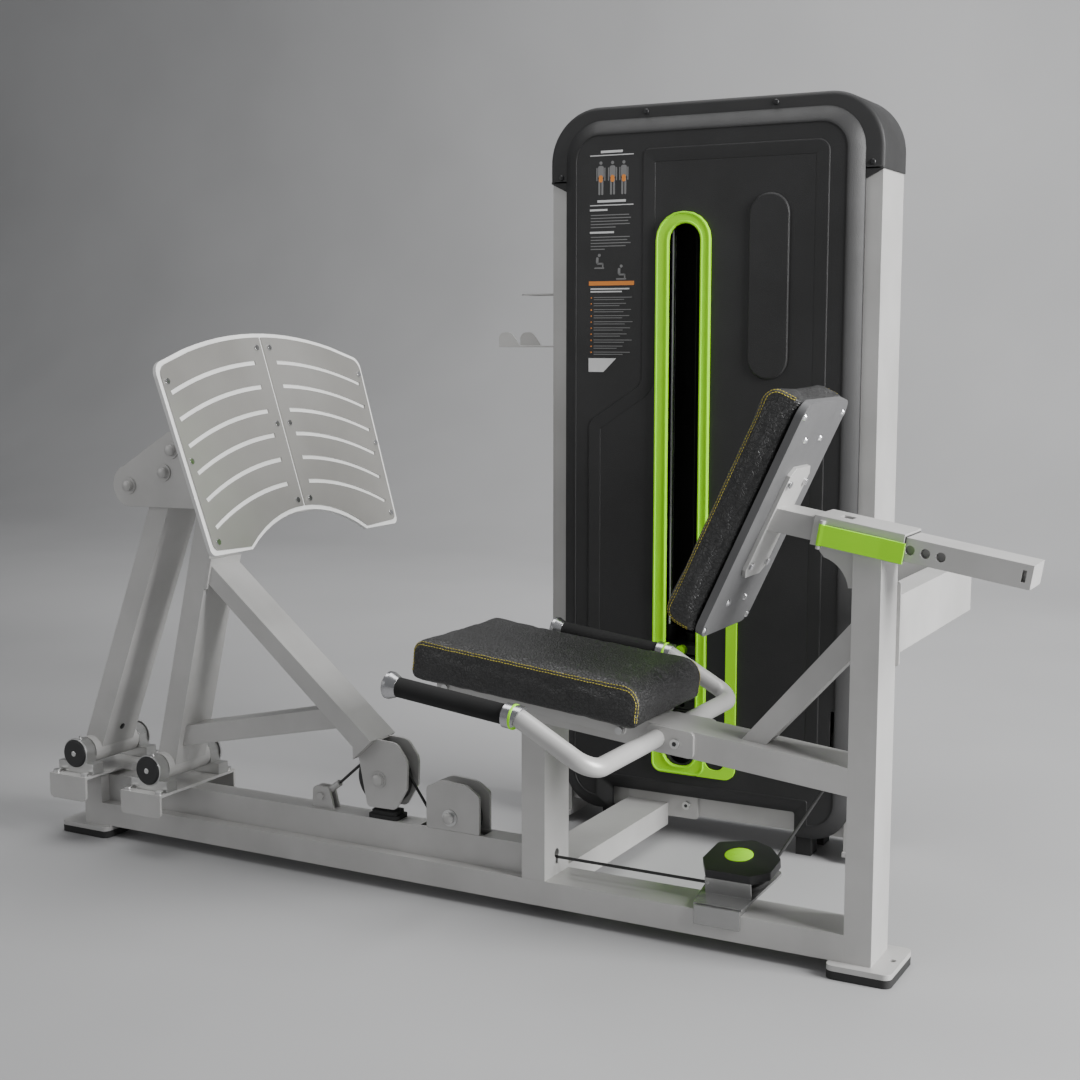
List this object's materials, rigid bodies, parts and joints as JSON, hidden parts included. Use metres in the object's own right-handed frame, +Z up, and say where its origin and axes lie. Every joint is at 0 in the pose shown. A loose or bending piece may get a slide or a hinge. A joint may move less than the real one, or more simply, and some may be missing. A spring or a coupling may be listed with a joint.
{
  "type": "seated leg press machine",
  "caption": "Seated leg press with a four-bar foot plate, sliding reclined backrest, hand grips and a shrouded cable weight tower on a tubular steel frame.",
  "frame": {"origin": "on the floor under the middle of the whole machine's bounding box", "axes": "+X along the machine from the foot plate to the backrest, +Y from the press to the weight tower, +Z up"},
  "size_m": [2.1245, 1.0599, 1.606],
  "materials": {
    "frame_paint": "satin light grey powder coat",
    "bracket_grey": "satin mid grey paint",
    "cast_housing": "satin cast housing",
    "shroud_plastic": "fine-textured charcoal",
    "black_plastic": "satin black",
    "liner_plastic": "smooth black",
    "green_plastic": "glossy lime green",
    "floor_rubber": "matte black",
    "grip_foam": "fine matte foam",
    "pad_leather": "grained black upholstery",
    "board_plastic": "smooth dark grey",
    "plate_grey": "satin light grey",
    "panel_steel": "polished stainless sheet",
    "chrome": "polished",
    "bright_steel": "bright zinc",
    "aluminium": "turned, polished",
    "weight_black": "black painted iron",
    "pulley_plastic": "black nylon",
    "cable_black": "black coated wire rope"
  },
  "bodies": {
    "frame": {"base_beam": "frame_paint", "raised_beam": "frame_paint", "seat_post": "frame_paint", "seat_beam": "frame_paint", "back_post": "frame_paint", "seat_brace": "frame_paint", "cross_beam": "frame_paint", "tie_beam": "frame_paint", "sleeve": "frame_paint", "sleeve_liner": "liner_plastic", "floor_pads": "floor_rubber", "bearing_brackets": "frame_paint", "bearing_housings": "cast_housing", "bearing_caps": "black_plastic", "bumper": "floor_rubber", "cable_anchor": "frame_paint", "fixed_housing": "frame_paint", "corner_bracket": "bracket_grey", "corner_cover": "black_plastic", "seat_bracket": "frame_paint", "seat_pad": "pad_leather", "handle_tubes": "frame_paint", "handle_grips": "grip_foam", "handle_ends": "aluminium", "frame_bolts": "bright_steel", "tower_uprights": "frame_paint", "tower_rails": "frame_paint", "top_cap": "shroud_plastic", "front_shroud": "shroud_plastic", "rear_shroud": "shroud_plastic", "window_trim": "green_plastic", "guide_rods": "chrome", "weight_stack": "weight_black", "bottle_holder": "frame_paint", "cable_press": "cable_black", "cable_run": "cable_black", "cable_stack": "cable_black"},
    "front_leg_arm": {"front_leg": "frame_paint", "press_braces": "frame_paint", "moving_housing": "frame_paint"},
    "rear_leg_arm": {"rear_leg": "frame_paint"},
    "foot_head": {"head_bracket": "frame_paint", "head_pins": "frame_paint", "foot_base": "plate_grey", "foot_panels": "panel_steel", "foot_screws": "chrome"},
    "moving_sheave": {"moving_pulley": "pulley_plastic"},
    "fixed_sheave": {"fixed_pulley": "pulley_plastic"},
    "corner_sheave": {"corner_pulley": "pulley_plastic"},
    "tower_sheave": {"tower_pulley": "pulley_plastic"},
    "right_sheave": {"top_pulley_right": "pulley_plastic"},
    "left_sheave": {"top_pulley_left": "pulley_plastic"},
    "carriage": {"top_plate": "weight_black"},
    "selector": {"selector_pin": "green_plastic"},
    "backrest": {"adjust_tube": "frame_paint", "back_board": "board_plastic", "back_pad": "pad_leather", "back_rivets": "chrome"},
    "lever": {"release_lever": "green_plastic"},
    "lock": {"lock_pin": "bright_steel"}
  },
  "joints": [
    {"name": "press", "type": "hinge", "parent": "frame", "child": "front_leg_arm", "pos_m": [-0.7685, -0.185, 0.185], "axis": [0, -1, 0], "range_deg": [0, 25], "deforming": ["cable_press"]},
    {"name": "rear_link", "type": "hinge", "parent": "frame", "child": "rear_leg_arm", "pos_m": [-0.9775, -0.185, 0.197], "axis": [0, -1, 0], "range_deg": [0, 25.5]},
    {"name": "head_tilt", "type": "hinge", "parent": "front_leg_arm", "child": "foot_head", "pos_m": [-0.6135, -0.185, 0.83], "axis": [0, -1, 0], "range_deg": [-43, 0]},
    {"name": "moving_sheave_spin", "type": "hinge", "parent": "front_leg_arm", "child": "moving_sheave", "pos_m": [-0.2255, -0.185, 0.2175], "axis": [0, -1, 0], "range_deg": [0, 230]},
    {"name": "fixed_sheave_spin", "type": "hinge", "parent": "frame", "child": "fixed_sheave", "pos_m": [-0.0575, -0.185, 0.1613], "axis": [0, 1, 0], "range_deg": [0, 500]},
    {"name": "corner_sheave_spin", "type": "hinge", "parent": "frame", "child": "corner_sheave", "pos_m": [0.5255, -0.1337, 0.1196], "axis": [0, 0.165, -0.9863], "range_deg": [0, 500]},
    {"name": "tower_sheave_spin", "type": "hinge", "parent": "frame", "child": "tower_sheave", "pos_m": [0.5545, 0.405, 0.263], "axis": [-1, 0, 0], "range_deg": [0, 500]},
    {"name": "right_sheave_spin", "type": "hinge", "parent": "frame", "child": "right_sheave", "pos_m": [0.50467, 0.45087, 1.44], "axis": [-0.0826, 0.9966, 0], "range_deg": [0, 500]},
    {"name": "left_sheave_spin", "type": "hinge", "parent": "frame", "child": "left_sheave", "pos_m": [0.24237, 0.42912, 1.44], "axis": [-0.0826, 0.9966, 0], "range_deg": [0, 500]},
    {"name": "carriage_lift", "type": "slide", "parent": "frame", "child": "carriage", "axis": [0, 0, 1], "range_m": [0, 0.44], "deforming": ["cable_stack"]},
    {"name": "selector_pull", "type": "slide", "parent": "carriage", "child": "selector", "axis": [0, -1, 0], "range_m": [0, 0.06]},
    {"name": "backrest_slide", "type": "slide", "parent": "frame", "child": "backrest", "axis": [0.9871, 0, -0.1599], "range_m": [-0.0795, 0.053]},
    {"name": "lever_pull", "type": "hinge", "parent": "frame", "child": "lever", "pos_m": [0.70735, -0.2415, 0.78205], "axis": [-0.1599, 0, -0.9871], "range_deg": [0, 4.4], "stiffness_Nm_per_rad": 4, "springref_deg": -2.86},
    {"name": "lock_pull", "type": "slide", "parent": "frame", "child": "lock", "axis": [0, -1, 0], "range_m": [0, 0.0078]}
  ],
  "couplings": [
    {"joint": "rear_link", "follows": "press", "ratio": 0.988},
    {"joint": "head_tilt", "follows": "press", "ratio": -1.694},
    {"joint": "moving_sheave_spin", "follows": "press", "ratio": 8.12},
    {"joint": "fixed_sheave_spin", "follows": "press", "ratio": 19.314},
    {"joint": "corner_sheave_spin", "follows": "press", "ratio": 18.942},
    {"joint": "tower_sheave_spin", "follows": "press", "ratio": 19.7},
    {"joint": "right_sheave_spin", "follows": "press", "ratio": 19.7},
    {"joint": "left_sheave_spin", "follows": "press", "ratio": 19.7},
    {"joint": "carriage_lift", "follows": "press", "m_per_rad": 0.985},
    {"joint": "lock_pull", "follows": "lever_pull", "m_per_rad": 0.099}
  ]
}
